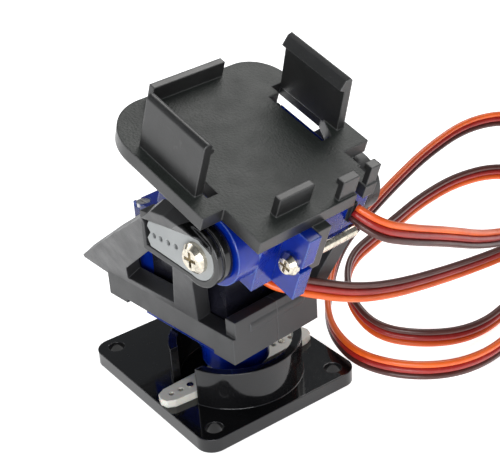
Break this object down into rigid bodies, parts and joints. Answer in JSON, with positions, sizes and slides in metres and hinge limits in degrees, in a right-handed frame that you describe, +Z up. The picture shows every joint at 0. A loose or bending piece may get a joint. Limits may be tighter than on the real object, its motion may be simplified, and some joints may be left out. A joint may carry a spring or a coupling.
{
  "type": "pan tilt camera mount",
  "caption": "Small pan and tilt camera mount: a round-collared base plate, a flared two-arm bracket around one micro servo, and a clip-on camera platform carrying a second one.",
  "frame": {"origin": "centre of the base plate's underside, midway between its four corner holes", "axes": "+X to the right along the plate's short side, +Y to the back, +Z up; the head is panned 6.18 degrees and the platform tilted 20.8 degrees nose down at rest"},
  "size_m": [0.1252, 0.0615, 0.0621],
  "materials": {
    "gloss_black": "moulded black plastic, high gloss",
    "nylon": "satin dark grey nylon",
    "platform_nylon": "spark-eroded black nylon",
    "blue_plastic": "translucent blue plastic",
    "white_plastic": "moulded white plastic",
    "nickel_screw": "nickel plated steel",
    "steel": "plain steel",
    "gear_plastic": "white acetal",
    "motor_can": "plated steel can",
    "sensor_body": "moulded case",
    "circuit_board": "green solder mask",
    "label": "dark printed film without marks",
    "grip_rubber": "soft black rubber",
    "lead_wire": "three stranded wires, orange, red and brown",
    "connector": "black connector housing"
  },
  "bodies": {
    "base": {"base_plate": "gloss_black", "pan_horn": "white_plastic", "pan_horn_centre_screw": "nickel_screw", "pan_horn_plate_screws": "nickel_screw", "pan_servo_output_shaft": "gear_plastic"},
    "pan_head": {"bracket_left": "nylon", "bracket_right": "nylon", "bracket_screws": "nickel_screw", "tilt_horn": "white_plastic", "tilt_horn_screw": "nickel_screw", "tilt_servo_output_shaft": "gear_plastic", "pan_servo_label": "label", "pan_servo_case": "blue_plastic", "pan_servo_bottom_cover": "blue_plastic", "pan_servo_top_cover": "blue_plastic", "pan_servo_case_screws": "steel", "pan_servo_lead_grip": "grip_rubber", "pan_servo_motor": "motor_can", "pan_servo_position_sensor": "sensor_body", "pan_servo_circuit_board": "circuit_board", "pan_servo_gear_pin": "steel", "pan_servo_lead": "lead_wire", "pan_servo_lead_plug": "connector", "tilt_servo_lead": "lead_wire", "tilt_servo_lead_plug": "connector"},
    "tilt_head": {"camera_platform": "platform_nylon", "tilt_servo_ear_screws": "nickel_screw", "tilt_servo_label": "label", "tilt_servo_case": "blue_plastic", "tilt_servo_bottom_cover": "blue_plastic", "tilt_servo_top_cover": "blue_plastic", "tilt_servo_case_screws": "steel", "tilt_servo_lead_grip": "grip_rubber", "tilt_servo_motor": "motor_can", "tilt_servo_position_sensor": "sensor_body", "tilt_servo_circuit_board": "circuit_board", "tilt_servo_gear_pin": "steel"},
    "pan_servo_gear_3": {"pan_servo_gear_3": "gear_plastic"},
    "pan_servo_gear_2": {"pan_servo_gear_2": "gear_plastic"},
    "pan_servo_gear_1": {"pan_servo_gear_1": "gear_plastic"},
    "pan_servo_motor_pinion": {"pan_servo_motor_pinion": "steel"},
    "tilt_servo_gear_3": {"tilt_servo_gear_3": "gear_plastic"},
    "tilt_servo_gear_2": {"tilt_servo_gear_2": "gear_plastic"},
    "tilt_servo_gear_1": {"tilt_servo_gear_1": "gear_plastic"},
    "tilt_servo_motor_pinion": {"tilt_servo_motor_pinion": "steel"}
  },
  "joints": [
    {"name": "pan", "type": "hinge", "parent": "base", "child": "pan_head", "pos_m": [-0.00014, -0.00488, 0], "axis": [0, 0, 1], "range_deg": [-96, 84]},
    {"name": "tilt", "type": "hinge", "parent": "pan_head", "child": "tilt_head", "pos_m": [0.00135, -0.01859, 0.03822], "axis": [0.9942, 0.1077, 0], "range_deg": [-12, 77], "deforming": ["tilt_servo_lead"]},
    {"name": "pan_servo_gear_3_spin", "type": "hinge", "parent": "pan_head", "child": "pan_servo_gear_3", "pos_m": [-0.00077, 0.00099, 0.02], "axis": [0, 0, 1], "range_deg": [-263, 231]},
    {"name": "pan_servo_gear_2_spin", "type": "hinge", "parent": "pan_head", "child": "pan_servo_gear_2", "pos_m": [-0.00014, -0.00488, 0.02], "axis": [0, 0, 1], "range_deg": [-731, 835]},
    {"name": "pan_servo_gear_1_spin", "type": "hinge", "parent": "pan_head", "child": "pan_servo_gear_1", "pos_m": [-0.00077, 0.00099, 0.02], "axis": [0, 0, 1], "range_deg": [-2438, 2134]},
    {"name": "pan_servo_motor_pinion_spin", "type": "hinge", "parent": "pan_head", "child": "pan_servo_motor_pinion", "pos_m": [-0.00132, 0.00606, 0.02], "axis": [0, 0, 1], "range_deg": [-8732, 9979]},
    {"name": "tilt_servo_gear_3_spin", "type": "hinge", "parent": "tilt_head", "child": "tilt_servo_gear_3", "pos_m": [0.00075, -0.01311, 0.04031], "axis": [0.9942, 0.1077, 0], "range_deg": [-38, 212]},
    {"name": "tilt_servo_gear_2_spin", "type": "hinge", "parent": "tilt_head", "child": "tilt_servo_gear_2", "pos_m": [0.00135, -0.01859, 0.03822], "axis": [0.9942, 0.1077, 0], "range_deg": [-671, 109]},
    {"name": "tilt_servo_gear_1_spin", "type": "hinge", "parent": "tilt_head", "child": "tilt_servo_gear_1", "pos_m": [0.00075, -0.01311, 0.04031], "axis": [0.9942, 0.1077, 0], "range_deg": [-310, 1957]},
    {"name": "tilt_servo_motor_pinion_spin", "type": "hinge", "parent": "tilt_head", "child": "tilt_servo_motor_pinion", "pos_m": [0.00024, -0.00837, 0.04213], "axis": [0.9942, 0.1077, 0], "range_deg": [-8005, 1252]}
  ],
  "couplings": [
    {"joint": "pan_servo_gear_3_spin", "follows": "pan", "ratio": 2.6875},
    {"joint": "pan_servo_gear_2_spin", "follows": "pan", "ratio": -8.6384},
    {"joint": "pan_servo_gear_1_spin", "follows": "pan", "ratio": 25.339},
    {"joint": "pan_servo_motor_pinion_spin", "follows": "pan", "ratio": -103.89},
    {"joint": "tilt_servo_gear_3_spin", "follows": "tilt", "ratio": 2.6875},
    {"joint": "tilt_servo_gear_2_spin", "follows": "tilt", "ratio": -8.6384},
    {"joint": "tilt_servo_gear_1_spin", "follows": "tilt", "ratio": 25.339},
    {"joint": "tilt_servo_motor_pinion_spin", "follows": "tilt", "ratio": -103.89}
  ]
}
